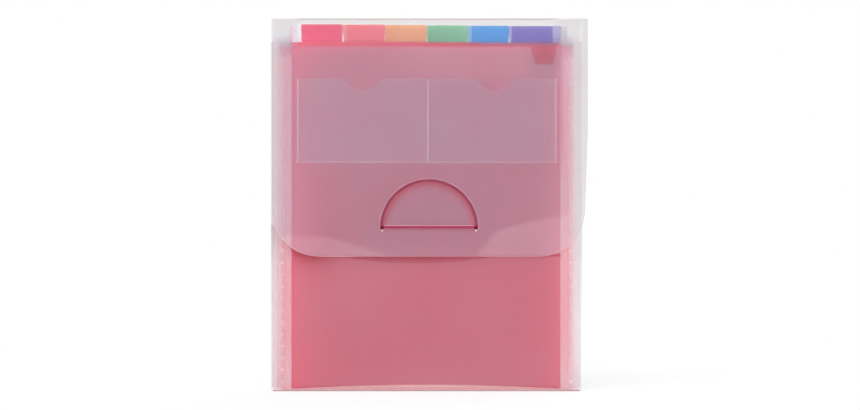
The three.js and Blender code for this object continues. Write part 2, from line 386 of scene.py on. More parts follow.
# Six dividers: tinted polypropylene, 0.4 mm, each die cut with one index tab at the top.
# The tabs step from left to right. The foot is cut to a shallow arch that clears the floor,
# but for the red divider in front, whose foot is straight and clearer below the line of the arch.
DIVIDER = 0.4
DIVIDER_HALF, DIVIDER_COVER = 124.5, 0.5
DIVIDER_TOP, TAB_TOP, TAB_CORNER = 293.5, 308.5, 2.0
TAB_FIRST, TAB_PITCH, TAB_WIDE, TAB_SPARE = -105.0, 35.1, 34.0, 9.7
ARCH_HIGH, ARCH_DROP = 5.0, 3.8
RED_FOOT, RED_BARED = 1.05, 0.63
TOP_FADED = (0.7, 0.9, 0.9, 0.85, 0.0, 0.0)
# Each tint: its name; deep and bright, the shaded and lit ends between which the glow attribute paints
# light and shade; and passes, the colour it lets through.
TINTS = [
    ("red", (0.52, 0.09, 0.14), (1.0, 0.18, 0.27), (1.0, 0.42, 0.5)),
    ("coral", (0.74, 0.14, 0.18), (1.0, 0.36, 0.39), (1.0, 0.5, 0.5)),
    ("orange", (0.80, 0.44, 0.24), (0.88, 0.52, 0.32), (1.0, 0.75, 0.5)),
    ("green", (0.30, 0.58, 0.38), (0.38, 0.66, 0.46), (0.6, 0.95, 0.7)),
    ("blue", (0.16, 0.40, 0.76), (0.22, 0.48, 0.84), (0.5, 0.75, 1.0)),
    ("purple", (0.32, 0.28, 0.54), (0.40, 0.36, 0.62), (0.74, 0.70, 0.90)),
]


def tinted(name, cover, deep, bright, passes):
    """Tinted sheet: partly a matt colour and partly a coloured filter over what lies behind. It is brighter
    where the glow attribute is high, which on the dividers is painted light and shade, paler and clearer
    where the thin attribute is, with soft patches and a fine grain."""
    finish, tree = blank_finish(name)
    clouds, matt, raised = matt_grain(tree, 9.0, 2.0, 900.0, 0.50)
    lit = sum_of(tree, "ADD", painted(tree, "glow"), patches(tree, clouds, -0.06, 0.06))
    skin = node(tree, "ShaderNodeBsdfPrincipled", Base_Color=shades(tree, lit, deep, bright),
                Roughness=matt, Normal=raised)
    thin = painted(tree, "thin")
    solid = node(tree, "ShaderNodeMapRange", Value=thin, To_Min=cover, To_Max=0.0)
    behind = node(tree, "ShaderNodeBsdfTransparent", Color=shades(tree, thin, passes, (1, 1, 1)))
    both = node(tree, "ShaderNodeMixShader", Fac=solid.outputs["Result"], i1=behind.outputs[0],
                i2=skin.outputs[0])
    node(tree, "ShaderNodeOutputMaterial", Surface=both.outputs[0])
    return finish


def flat(y):
    """The lie of an upright flat sheet: y all over."""
    return lambda x, z: 0 * x + y


def tab(columns, left, right):
    """The index tab: each column of the divider between left and right goes on up to the tab's top,
    leaning out by up to 1 mm at the two sides, with corners rounded to 2 mm."""
    x = columns[(columns > left - 1e-6) & (columns < right + 1e-6)]
    share = (x - left) / (right - left) * 2 - 1
    half = (right - left) / 2
    corner = np.clip(np.abs(share) * half - (half - TAB_CORNER), 0, TAB_CORNER)
    top = TAB_TOP - TAB_CORNER + np.sqrt(TAB_CORNER ** 2 - corner ** 2)
    z = DIVIDER_TOP + (top - DIVIDER_TOP)[:, None] * np.linspace(0, 1, 8)
    lean = share[:, None] * (z - DIVIDER_TOP) / (TAB_TOP - DIVIDER_TOP)
    return np.stack([x[:, None] + lean, 0 * z, z], axis=-1)


def arch(x):
    """The foot's arch: 5 mm above the floor in the middle, 1.2 mm at the sides, by the square of x."""
    return ARCH_HIGH - ARCH_DROP * (x / DIVIDER_HALF) ** 2


def fade(over, span):
    """1 until over is 0, and then less by the same share for every step: e to the minus over by span."""
    return np.exp(-over.clip(0) / span)


def side_light(x, y, z):
    """Painted light on the sheet's colour, standing for light that gets in at its edges: most near the
    sides, further in on the left, and a little at the foot and the upper left. Painted shade at the upper
    right, in the nook behind the finger notch and along the edge of the arch."""
    side = np.where(x < 0, 0.46, 0.6) * fade(115 - np.abs(x), np.where(x < 0, 19, 8))
    ends = -(0.05 + 0.22 * x / DIVIDER_HALF) * fade(DIVIDER_TOP - z, 30)
    nook = np.exp(-((x - 101) / 11) ** 2 - ((z - 279) / 13) ** 2)
    rim = 0.3 * np.exp(-((z - arch(x) - 0.6) / 0.9) ** 2)
    return np.clip(0.52 + side + ends - nook - rim + 0.24 * fade(z, 40), 0, 1)


def light_through(x, y, z, bared, faded, rear):
    """One sheet alone against the light looks thin: the tab, the margins out past the welds, which fade by
    one minus the square of what is left of their width, or all along below the corners at the rear, the
    upper corners at the front, the top edge where it is faded, towards the right and at its left end, and
    the foot where it is bared below the arch."""
    beside = rise(np.abs(x) - WELD_RIGHT, 2)
    if rear:
        margin = 0 * x
        corner = beside * (1 - 0.12 * rise(z - 280, 10))
    else:
        margin = 1 - (1 - rise(np.abs(x) - 117.9, np.where(x < 0, 6.3, 6.5))) ** 2
        corner = beside * np.maximum(0.5 * rise(z - 262, 30), rise(z - 282, 9))
    edge = faded * rise(x + 20, 70) * rise(z - 289.6, 2)
    left_end = 0.6 * faded * rise(-x - 105.5, 3) * rise(z - 286, 4)
    ear = 0.45 * rise(z - DIVIDER_TOP, 0.4) - 0.3 * rise(304 - z, 9) * (x > 107.5)
    foot = bared * rise(arch(x) - z + 0.3, 0.6)
    return np.max([margin, corner, edge, left_end, foot, ear], axis=0)


near_corners = np.array([0.0, 0.15, 0.5, 1.0, 1.5, 2.0])
leaf_rows = np.unique(np.concatenate([np.linspace(0, 1, 60), np.linspace(0, 0.03, 16),
                                      np.linspace(0.93, 1, 22)]))
for k, (tint, deep, bright, passes) in enumerate(TINTS, start=1):
    left = TAB_FIRST + TAB_PITCH * (k - 1)
    right = left + TAB_WIDE + (TAB_SPARE if k == 6 else 0)
    columns = np.unique(np.round(np.concatenate([
        np.linspace(-DIVIDER_HALF, DIVIDER_HALF, 60), np.linspace(-DIVIDER_HALF, -112, 14),
        np.linspace(112, DIVIDER_HALF, 14), left + near_corners, right - near_corners]), 3))
    foot = arch(columns) if k > 1 else RED_FOOT
    leaf = ruled(columns, foot, DIVIDER_TOP, leaf_rows, flat(sheets_y[k]))
    ear = tab(columns, left, right) + np.array([0, sheets_y[k], 0])
    finish = tinted(f"{tint}_divider", DIVIDER_COVER, deep, bright, passes)
    divider = sheet(f"{tint}_divider", [leaf, ear], DIVIDER, finish)
    bared = RED_BARED if k == 1 else 0.0
    marked(divider, "glow", side_light)
    marked(divider, "thin", lambda x, y, z: light_through(x, y, z, bared, TOP_FADED[k - 1], k > 3))
    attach(divider, f"divider_{k}")
    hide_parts(f"divider_{k}")


# Index labels: a thin coloured film slid over each tab, the same on the front and the back.
# They are printed film, more even and more solid in colour than the sheet they sit on. The clear sleeves
# of the first and the last one stick out beside the label; the white of the first one beside its label is a
# painted highlight.
LABEL_STEP, LABEL_FILM, LABEL_COVER, LABEL_FADE = 0.3, 0.12, 0.16, 14.5
SLEEVE_FILM, SLEEVE_HAZE = 0.2, 0.3
SLEEVE_BLUSH, SLEEVE_SMOKE = (1.0, 0.30, 0.56), (0.30, 0.29, 0.40)
LABELS = [
    (-105.0, -71.6, (0.90, 0.17, 0.30), (0.96, 0.24, 0.40), (1.0, 0.76, 0.84)),
    (-67.2, -34.6, (1.0, 0.30, 0.36), (1.0, 0.40, 0.46), (1.0, 0.84, 0.87)),
    (-34.0, 0.4, (0.96, 0.54, 0.30), (1.0, 0.62, 0.40), (1.0, 0.93, 0.84)),
    (0.9, 35.2, (0.36, 0.64, 0.45), (0.42, 0.70, 0.51), (0.83, 0.95, 0.89)),
    (38.2, 69.6, (0.12, 0.52, 0.94), (0.16, 0.58, 0.98), (0.67, 0.91, 0.99)),
    (72.4, 107.0, (0.32, 0.26, 0.70), (0.38, 0.32, 0.76), (0.83, 0.80, 0.96)),
]
SLEEVES = [
    ("label_sleeve_end", 1, (-116.2, -105.0), 0.0),
    ("last_sleeve_end", 6, (113.4, 119.7), -0.35),
]


def label_thin(x, z, left, right):
    """The printed film is thinner over the last 4 mm towards its two ends, and more so towards its top."""
    ends = 0.2 * (1 - rise(np.minimum(x - left, right - x), 4))
    return np.maximum(ends, 0.45 * (1 - rise(TAB_TOP - z, 4)))


for k, (left, right, deep, bright, passes) in enumerate(LABELS, start=1):
    columns = np.linspace(left, right, 18)
    finish = tinted(f"index_label_{k}", LABEL_COVER, deep, bright, passes)
    faces = [ruled(columns, DIVIDER_TOP + 0.1, TAB_TOP - 0.15, 8, flat(sheets_y[k] + step))
             for step in (-LABEL_STEP, LABEL_STEP)]
    label = sheet(f"index_label_{k}", faces, LABEL_FILM, finish)
    marked(label, "glow", lambda x, y, z: 0.3 + 0.5 * (TAB_TOP - z) / LABEL_FADE)
    marked(label, "thin", lambda x, y, z: label_thin(x, z, left, right))
    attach(label, f"divider_{k}")


def sleeve_veil(x, y, z):
    """The first sleeve is white beside its label, a painted highlight, clear further out and pink along its
    end, less so towards the top. The last one is smoky, and clears towards its top and its end."""
    pink = 0.85 * (1 - rise(np.abs(x + 113.5), 2.7)) * (1 - 0.7 * rise(z - 300, 8))
    first = np.interp(x, [-110.8, -109.0, -107.5], [-0.97, -0.6, 0.0]) + pink
    last = -0.1 - 0.45 * rise(z - 301, 6) - 0.4 * rise(x - 117, 2.7)
    return np.where(x < 0, first, last)


sleeve_finish = frosted("label_sleeve", SLEEVE_HAZE, (0.90, 0.92, 0.90), (0.98, 1.0, 0.98),
                        turns=[("blush", SLEEVE_BLUSH), ("smoke", SLEEVE_SMOKE)])
for name, k, ends, step in SLEEVES:
    columns = np.linspace(*ends, 14)
    face = ruled(columns, DIVIDER_TOP + 0.4, TAB_TOP - 0.5, 10, flat(sheets_y[k] + step))
    sleeve = sheet(name, [face], SLEEVE_FILM, sleeve_finish)
    marked(sleeve, "veil", sleeve_veil)
    marked(sleeve, "blush", lambda x, y, z: np.maximum(x < -109.8, 0.6 * rise(300 - z, 5)))
    marked(sleeve, "smoke", lambda x, y, z: x > 0)
    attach(sleeve, f"divider_{k}")


# Front panel of the cover: the same frosted sheet, cut off lower than the back so that the tabs show,
# with a finger notch at the right and a slit with round ends that the flap's tongue slips into.
# The flap's outline is given here already, because the flap's painted shadow and its press go on this
# panel.
FRONT_LEFT, FRONT_RIGHT, FRONT_FOOT, FRONT_TOP = -130.7, 129.5, 0.9, 289.5
FRONT_SWELL, SWELL_WIDE, SWELL_HIGH, FRONT_LEAN = 1.0, 259.0, 108.0, 1.4
CORNER_FROM, CORNER_RISE = 107.0, 3.8
SLIT_X, SLIT_Z, SLIT_HALF, SLIT_RADIUS = 2.0, 138.3, 41.0, 1.3
NOTCH_X, NOTCH_TOP, NOTCH_FOOT, NOTCH_DEEP = 98.7, 12.0, 7.15, 15.1
FLAP_LEFT, FLAP_RIGHT, FLAP_FOOT, FLAP_TOP, FLAP_ROUND = -130.0, 135.2, 113.4, 311.9, 40.0
BOW_X, BOW_HALF = -8.0, 66.0
# The first colour below is the dark of the painted shadow that the flap casts on the front panel.
FLAP_SHADOW_DARK, FOOT_BOUNCE_SHADE = (0.06, 0.02, 0.03), (0.90, 0.66, 0.56)


def front_lie(x, z):
    """The wall lies at -17.5 mm; below the flap it swells forward by up to 1 mm."""
    swell = np.cos(np.pi * x / SWELL_WIDE) * np.sin(np.pi * np.clip(z, 0, SWELL_HIGH) / SWELL_HIGH) ** 2
    return FRONT_Y - FRONT_SWELL * swell


def front_wall(*edges):
    """A ruled piece of the wall whose right edge leans out evenly, by 1.4 mm from 140 mm up."""
    grid = ruled(*edges, front_lie)
    grid[..., 0] += FRONT_LEAN * rise(grid[..., 0] - 122, 7.5) * rise(grid[..., 2], 140)
    return grid


notch_run = NOTCH_X + np.array([-NOTCH_TOP, -NOTCH_FOOT, NOTCH_FOOT, NOTCH_TOP])
notch_z = [FRONT_TOP, FRONT_TOP - NOTCH_DEEP, FRONT_TOP - NOTCH_DEEP, FRONT_TOP]
corner_steps = np.array([-108.5, -105.5, 106.5, 109.5])
round_end = SLIT_RADIUS * (1 - np.cos(np.linspace(0, np.pi / 2, 7)))
front_x = np.unique(np.round(np.concatenate([
    np.linspace(FRONT_LEFT, FRONT_RIGHT, 66), corner_steps, weld_edges, notch_run,
    SLIT_X - SLIT_HALF + round_end, SLIT_X + SLIT_HALF - round_end]), 3))
front_top = np.interp(front_x, notch_run, notch_z) + CORNER_RISE * (np.abs(front_x) > CORNER_FROM)
into_end = SLIT_HALF - np.abs(front_x - SLIT_X)
half_slit = np.sqrt(np.clip(SLIT_RADIUS ** 2 - np.clip(SLIT_RADIUS - into_end, 0, None) ** 2, 0, None))
half_slit = np.where(into_end > 1e-6, half_slit, 0)
low_rows = np.unique(np.concatenate([np.linspace(0, 1, 50), np.linspace(0, 0.12, 10),
                                     np.linspace(0.74, 0.83, 24)]))
front_finish = frosted("frosted_front", COVER_HAZE, COVER_DARK, COVER_LIGHT,
                       turns=[("flap_press_and_shadow", FLAP_SHADOW_DARK), ("warm", FOOT_BOUNCE_SHADE)])
front = sheet("front_panel", [
    front_wall(front_x, FRONT_FOOT, SLIT_Z - half_slit, low_rows),
    front_wall(front_x, SLIT_Z + half_slit, front_top, 50)], SHEET, front_finish)


def hump(x, middle, half):
    """1 at the middle, less the square of the share of half the width that lies between, never below 0."""
    return np.clip(1 - ((x - middle) / half) ** 2, 0, 1)


def flap_shadow_and_contact(x, y, z):
    """Darker where the flap presses on the panel, in the middle, and a painted shadow of the flap, most in
    a lens just under the flap's foot and along its left corner."""
    lens = 6.0 * hump(x, BOW_X, BOW_HALF) + 1.0
    under = np.sqrt(1 - rise(113.8 - z, lens)) * (z < 114.5) * (np.abs(x) < 113)
    middle = rise(106 - np.abs(x), 25) * rise(z - 113, 4) * rise(192 - z, 8)
    off = np.hypot(np.minimum(x - FLAP_LEFT - FLAP_ROUND, 0), FLAP_FOOT + FLAP_ROUND - z) - FLAP_ROUND
    corner = fade(off, 8) * rise(off + 1.5, 1.5) * rise(-70 - x, 25) * (z < 140)
    return np.max([0.33 * under, 0.4 * corner, 0.09 * middle], axis=0)


def front_veil(x, y, z):
    """As the back panel's sides, with a whiter rim; thicker where the flap presses and under its painted
    shadow, clearer beside the left weld and thicker beside the right one, and cloudy low in the middle as
    painted shade above the arch."""
    beside = -0.25 * fade(x - WELD_LEFT, 5) + 0.25 * fade(WELD_RIGHT - x, 4)
    # Low in the middle the veil thickens above the arch: a painted shade.
    low = np.where(z > 4, hump(x, 0, 105) * (0.15 * fade(z, 50) + 0.3 * fade(z - 5, 9)), -0.3)
    rim = np.where(x < 0, 1.6, 0.6) * rise(np.abs(x) - 128.4, 0.8)
    sides = np.where((x < WELD_LEFT) | (x > WELD_RIGHT), clear_sides(x, y, z) + rim, beside)
    return sides + flap_shadow_and_contact(x, y, z) + low


marked(front, "veil", front_veil)
# The front panel's colour turns to the painted shadow's dark by three times the flap shadow and press.
marked(front, "flap_press_and_shadow", lambda x, y, z: 3 * flap_shadow_and_contact(x, y, z))
# Below the arch the front panel turns warm: painted shade with red light thrown down from the dividers.
marked(front, "warm", lambda x, y, z: rise(arch(x) - z + 0.4, 0.8))
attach(front, "front")
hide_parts("cover_front")


# Weld spots: rows of small round ultrasonic welds, 10 mm apart, that hold the pleats to the
# front and back panels. Each is a shallow whitened button on the outer face of the panel.
SPOT_X, SPOT_FIRST, SPOT_END, SPOT_PITCH, SPOT_RADIUS = 121.0, 8.0, 288.0, 10.0, 1.25
weld_finish = frosted("weld_white", 0.21, (0.94, 0.84, 0.88), (1.0, 0.92, 0.96), grain=600.0)


def spots(x, y, z, lift, wide):
    """Shallow buttons: at each (x, y, z), four rings of ten points, as wide as asked and then narrower by
    steps, rise towards lift, and a flat face closes each end."""
    m = 10
    a = np.linspace(0, 2 * np.pi, m + 1)[:-1]
    radius = wide * np.array([1.0, 1.0, 0.76, 0.36])
    proud = np.array([-0.1, 0.02, 0.12, 0.16]) * lift
    ring = np.stack(np.broadcast_arrays(radius[:, None] * np.cos(a), proud[:, None],
                                        radius[:, None] * np.sin(a)), axis=-1)
    points = np.stack([x, y, z], axis=-1)[:, None, None] + ring
    base = np.arange(len(x))[:, None, None] * 4 * m
    i, j = np.meshgrid(np.arange(3), np.arange(m), indexing="ij")
    beside = (j + 1) % m
    wall = np.stack([i * m + j, i * m + beside, (i + 1) * m + beside, (i + 1) * m + j], -1)
    caps = np.stack([np.arange(m - 1, -1, -1), np.arange(3 * m, 4 * m)])
    if lift > 0:
        wall, caps = wall[..., ::-1], caps[:, ::-1]
    walls = (base[..., None] + wall[None]).reshape(-1, 4)
    return points.reshape(-1, 3), walls.tolist() + (base + caps[None]).reshape(-1, m).tolist()


spot_row = np.arange(SPOT_FIRST, SPOT_END, SPOT_PITCH)
spot_x = np.repeat([-SPOT_X, SPOT_X], len(spot_row))
spot_z = np.tile(spot_row, 2)
for name, lie, face, body in (("front_weld_spots", front_lie, -1, "front"),
                              ("back_weld_spots", back_lie, 1, "back")):
    spot_y = lie(spot_x, spot_z) + face * SHEET / 2
    rows = into_scene(name, *spots(spot_x, spot_y, spot_z, face, SPOT_RADIUS), weld_finish)
    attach(rows, body)


# Card pockets: one strip of clear film, 0.3 mm, laid on the front panel and welded along its sides, its
# foot and its middle, so that it makes two pockets. A thumb notch is cut from the top of each.
CARD_Y, CARD_HALF, CARD_FOOT, CARD_TOP = -18.25, 109.0, 192.0, 262.7
THUMBS, THUMB_RADIUS, THUMB_ABOVE, THUMB_HALF = (-53.8, 57.2), 16.5, 6.5, 15.17
SEAM_Y, SEAM_HALF, SEAM_DEEP, SEAM_FOOT, SEAM_TOP = -18.42, 0.85, 0.14, 191.9, 262.6
card_finish = frosted("card_film", 0.085, (0.44, 0.46, 0.56), (0.50, 0.52, 0.62))
thumb = THUMB_HALF * np.sin(np.linspace(-np.pi / 2, np.pi / 2, 25))
card_x = np.concatenate([np.linspace(-CARD_HALF, CARD_HALF, 50)] + [at + thumb for at in THUMBS])
card_x = np.unique(np.round(card_x, 3))
from_thumb = np.abs(card_x[:, None] - THUMBS).min(axis=1)
bite = np.sqrt(np.clip(THUMB_RADIUS ** 2 - from_thumb ** 2, 0, None)) - THUMB_ABOVE
card = sheet("card_pocket_film", [ruled(card_x, CARD_FOOT, CARD_TOP - bite.clip(0), 24, flat(CARD_Y))],
             FILM, card_finish)
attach(card, "front")
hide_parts("card_pockets")


def flat_rib(name, run, y, half_wide, half_deep, finish, ring=False):
    """A rib of rounded section laid along a run of (x, z) points in the plane of a sheet at y: the way
    across is the run's own direction turned a quarter, and corners are mitred."""
    if ring:
        step = np.roll(run, -1, axis=0) - np.roll(run, 1, axis=0)
    else:
        step = np.gradient(run, axis=0)
    step /= np.linalg.norm(step, axis=1, keepdims=True)
    spine = np.stack([run[:, 0], np.broadcast_to(y, len(run)), run[:, 1]], axis=-1)
    side = np.stack([step[:, 1], 0 * step[:, 0], -step[:, 0]], axis=-1)
    up = np.broadcast_to([0.0, 1.0, 0.0], spine.shape)
    a = np.linspace(0, 2 * np.pi, 9)[:-1] + np.pi / 8
    outline = np.stack([half_wide * np.cos(a), half_deep * np.sin(a)], axis=-1)
    return rib(name, spine, side, up, outline, finish, ends=not ring)


def stretch(start, end, count):
    """A straight run of even steps between two (x, z) points."""
    return np.linspace(0, 1, count)[:, None] * (np.array(end) - start) + np.array(start)


seam_finish = frosted("weld_seam", 0.105, (0.94, 0.72, 0.80), (1.0, 0.80, 0.88), grain=700.0)
seams = {
    "left": (stretch((-108.2, SEAM_FOOT), (-108.2, SEAM_TOP), 30), 0.2),
    "middle": (stretch((1.1, SEAM_FOOT), (1.1, SEAM_TOP), 30), 0.35),
    "right": (stretch((108.6, SEAM_FOOT), (108.6, SEAM_TOP), 30), 0.2),
    "foot": (stretch((-109.2, 192.4), (109.6, 192.4), 60), -0.4),
}
for name, (run, whiter) in seams.items():
    seam = flat_rib(f"card_seam_{name}", run, SEAM_Y, SEAM_HALF, SEAM_DEEP, seam_finish)
    marked(seam, "veil", lambda x, y, z: whiter)
    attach(seam, "front")


# Top of the cover: the sheet runs on from the back over the tabs. It hinges on a pressed round rib at
# the rear, and on a rounded score at the front, where the flap turns down.
TOP_LEFT, TOP_RIGHT, TOP_FRONT, TOP_REAR, TOP_Z = -130.0, 135.0, -18.4, 17.6, 312.7
TOP_RIB_Y, TOP_RIB_Z, TOP_RIB_RADIUS = 17.8, 313.0, 0.8
TOP_SCORE_Y, TOP_SCORE_Z, TOP_SCORE_RADIUS, TOP_SCORE_SHEET = -18.3, 312.0, 0.7, 0.7
FLAP_Y = -19.0
fold_finish = frosted("pressed_fold", 0.14, (0.34, 0.29, 0.30), (0.42, 0.37, 0.38))
top_finish = frosted("frosted_top", 0.05, (0.76, 0.56, 0.50), (0.84, 0.64, 0.58))
top_x = np.linspace(TOP_LEFT, TOP_RIGHT, 60)
top = sheet("top_panel", [level(top_x, np.linspace(TOP_FRONT, TOP_REAR, 12), TOP_Z)], SHEET, top_finish)
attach(top, "spine")
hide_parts("top_spine")
rear_rib = straight_rib("top_rear_fold", COVER_HALF, TOP_RIB_Y, TOP_RIB_Z, TOP_RIB_RADIUS, fold_finish)
marked(rear_rib, "veil", lambda x, y, z: -0.65)
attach(rear_rib, "back")
front_score = bent(TOP_SCORE_Y, TOP_SCORE_Z, TOP_SCORE_RADIUS, np.pi / 2, np.pi)
front_score = np.concatenate([[[-17.9, TOP_Z]], front_score, [[FLAP_Y, 311.6]]])
score = sheet("top_front_fold", [folded(top_x, front_score[::-1])], TOP_SCORE_SHEET, fold_finish)
marked(score, "veil", lambda x, y, z: 3.4 * under_fold(x, z) * rise(z - 312.1, 0.3) - 0.5)
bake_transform(score)


# Flap: the sheet's free end, hanging over the front. Its lower corners are rounded to 40 mm, and a
# half moon is cut through it for the lock. Below the lock it springs a little off the panel.
# Its skin is spread on rays from an eye inside the half moon.
BOW_LIFT, CORNER_LIFT, FLAP_TAPER = 2.6, 0.7, 2.4
MOON_X, MOON_Z, MOON_RADIUS, MOON_FOOT, MOON_HALF = 2.0, 137.0, 41.0, 135.9, 40.985
RIM_HALF, RIM_DEEP = 0.32, 0.34
FLAP_PALE, FLAP_WARM, FLAP_SIDE = (0.88, 0.72, 0.85), (0.86, 0.62, 0.55), (0.49, 0.44, 0.45)
EYE = np.array([MOON_X, 150.0])


def flap_lift(x, z):
    """How far the flap stands off: a bow along the foot, most in its middle, and a lift at both corners."""
    bow = BOW_LIFT * hump(x, BOW_X, BOW_HALF) * rise(136 - z, 22.6) ** 1.5
    corners = CORNER_LIFT * rise(np.abs(x - 2.5) - 60, 70) * rise(150 - z, 36)
    return bow + corners


def flap_lie(x, z):
    """The flap hangs at -19 mm, less its lift."""
    return FLAP_Y - flap_lift(x, z)


def ray_to_circle(way, centre, radius):
    """Distance from the eye along each way to the far side of a circle."""
    off = np.array(centre) - EYE
    along = way @ off
    return along + np.sqrt(np.clip(along ** 2 - off @ off + radius ** 2, 0, None))


def flap_edge(angle):
    """The flap's outline seen from the eye: the nearest straight side, or a lower corner's arc."""
    way = np.stack([np.cos(angle), np.sin(angle)], axis=-1)
    room_x = np.where(way[:, 0] > 0, FLAP_RIGHT - EYE[0], EYE[0] - FLAP_LEFT)
    room_z = np.where(way[:, 1] > 0, FLAP_TOP - EYE[1], EYE[1] - FLAP_FOOT)
    far = np.min([room_x, room_z] / np.maximum(np.abs(way.T), 1e-9), axis=0)
    x, z = (EYE + far[:, None] * way).T
    low = z < FLAP_FOOT + FLAP_ROUND
    left_arc = ray_to_circle(way, (FLAP_LEFT + FLAP_ROUND, FLAP_FOOT + FLAP_ROUND), FLAP_ROUND)
    right_arc = ray_to_circle(way, (FLAP_RIGHT - FLAP_ROUND, FLAP_FOOT + FLAP_ROUND), FLAP_ROUND)
    far = np.where(low & (x < FLAP_LEFT + FLAP_ROUND), left_arc, far)
    far = np.where(low & (x > FLAP_RIGHT - FLAP_ROUND), right_arc, far)
    return EYE + far[:, None] * way


def moon_edge(angle):
    """The half moon seen from the eye: its arc, or its straight foot where that is nearer."""
    way = np.stack([np.cos(angle), np.sin(angle)], axis=-1)
    arc = ray_to_circle(way, (MOON_X, MOON_Z), MOON_RADIUS)
    foot = np.where(way[:, 1] < -1e-9, (MOON_FOOT - EYE[1]) / np.minimum(way[:, 1], -1e-9), np.inf)
    return EYE + np.minimum(arc, foot)[:, None] * way


def flap_taper(x, z):
    """The right edge runs in by 2.4 mm between 218 and 148 mm up; the flap narrows from 95 mm out."""
    return FLAP_TAPER * rise(x - 95, 40) * rise(218 - z, 70)


corner_x = np.array([FLAP_LEFT, FLAP_RIGHT, MOON_X - MOON_HALF, MOON_X + MOON_HALF]) - EYE[0]
corner_z = np.array([FLAP_TOP, FLAP_TOP, MOON_FOOT, MOON_FOOT]) - EYE[1]
corners = np.arctan2(corner_z, corner_x)
even = np.linspace(-np.pi, np.pi, 361)[:-1]
even = even[np.abs(even[:, None] - corners).min(axis=1) > np.radians(0.3)]
angles = np.sort(np.concatenate([even, corners]))
outer, inner = flap_edge(angles), moon_edge(angles)
spread = np.linspace(0, 1, 45) ** 1.2
plan = inner[:, None] * (1 - spread[:, None]) + outer[:, None] * spread[:, None]
plan = np.concatenate([plan, plan[:1]])
for points in (plan, outer):
    points[..., 0] -= flap_taper(points[..., 0], points[..., 1])
flap_skin = np.stack([plan[..., 0], flap_lie(plan[..., 0], plan[..., 1]), plan[..., 1]], axis=-1)
flap_finish = frosted("frosted_flap", 0.11, (0.42, 0.41, 0.56), (0.48, 0.47, 0.63),
                      turns=[("pale", FLAP_PALE), ("warm", FLAP_WARM), ("side", FLAP_SIDE)])
flap = sheet("cover_flap", [flap_skin], SHEET, flap_finish)


def flap_pale(x, y, z):
    """Paler where the flap stands clear of the panel, in both lower corners, with a fairly crisp edge, and
    a little above the pockets on the right."""
    shore = np.interp(x, [-130, -83, -36, -30, 40, 44.4, 55.3, 63.7, 86.4, 113.2, 132.6],
                      [131, 129.6, 115, 110, 110, 117, 131, 136.9, 142.8, 147, 150.4])
    above = rise(x + 50, 60) * rise(z - 255, 12) * rise(FRONT_TOP - z, 1)
    return 0.6 * rise(shore - z + 1.5, 3) + 0.3 * above


def flap_side(x):
    """1 over the pleats at both sides, where nothing tinted lies behind, down to 0 over 3 mm."""
    return rise(np.abs(x) - 112, 3)


def flap_grey(x, y, z):
    """Plain grey out at both sides, and all over the pleats above the front panel."""
    return np.maximum(rise(np.abs(x) - 120, 4), flap_side(x) * rise(z - 290, 4))


def flap_veil(x, y, z):
    """Thicker where it is paler, over the pleats and past the panel's right edge, clearer on the left, low
    down at the right and over the finger notch, and clearest near the fold, over the tabs."""
    notch = np.exp(-((x - NOTCH_X) / 10) ** 2 - ((z - 282) / 8) ** 2)
    clear = rise(z - 289.4, 1) * (0.3 + 0.2 * under_fold(x, z))
    right = 0.1 + 0.25 * rise(z - 230, 40)
    sides = np.where(x < 0, 0.4, right) * flap_side(x) + 0.9 * rise(x - 129, 2)
    left = 0.12 * np.exp(-((x + 95) / 25) ** 2)
    faint = 0.6 * rise(205 - z, 60) * rise(x - 118, 3)
    return flap_pale(x, y, z) / 3 + sides - left - faint - 0.55 * notch - clear


marked(flap, "veil", flap_veil)
marked(flap, "pale", flap_pale)
marked(flap, "warm", lambda x, y, z: under_fold(x, z))
marked(flap, "side", flap_grey)
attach(flap, "flap")
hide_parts("flap")


def rim_highlight(x, y, z):
    """The cut edge is a painted highlight: it shows most round the left lower corner, and hardly along the
    upright sides.
    """
    corner = 0.8 * (x < -60) * rise(150 - z, 10)
    return np.where(np.abs(x) > 60, corner - 0.75 * rise(z - 150, 10), 0.0)


# Pale ribs along the flap's outline and the half moon: a painted highlight of the cut edges.
edge_highlight_finish = frosted("cut_edge_highlight", 0.2, (0.80, 0.62, 0.68), (0.92, 0.74, 0.80), grain=700.0)
lip = EYE + (inner - EYE) * 1.02
for name, run in (("flap_edge", outer), ("moon_edge", lip)):
    rim = flat_rib(name, run, flap_lie(*run.T), RIM_HALF, RIM_DEEP, edge_highlight_finish, ring=True)
    marked(rim, "veil", rim_highlight)
    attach(rim, "flap")


# Cut of the half moon: a dark band round the lock, painted shade of the narrow gap between the cut edge
# and the tongue. It runs along the arc, along the foot where the tongue bends, and into a round relief
# with a small white spot below it at each end.
CUT_RADIUS, CUT_HALF, CUT_DEEP = 40.0, 1.4, 0.25
FOOT_CUT_HALF, FOOT_CUT_Z, FOOT_CUT_REACH = 2.0, 137.05, 38.6
RELIEF_REACH, RELIEF_Z, RELIEF_RADIUS, RELIEF_PROUD = 39.3, 137.3, 1.4, 0.32
WHITE_SPOT_DROP, WHITE_SPOT_RADIUS = 2.4, 0.8


def cut_thin(x, y, z):
    """The painted shade of the arc thins out towards its inner side."""
    return 0.3 * rise(39.6 - np.hypot(x - MOON_X, z - MOON_Z), 1.2) * (z > 140)


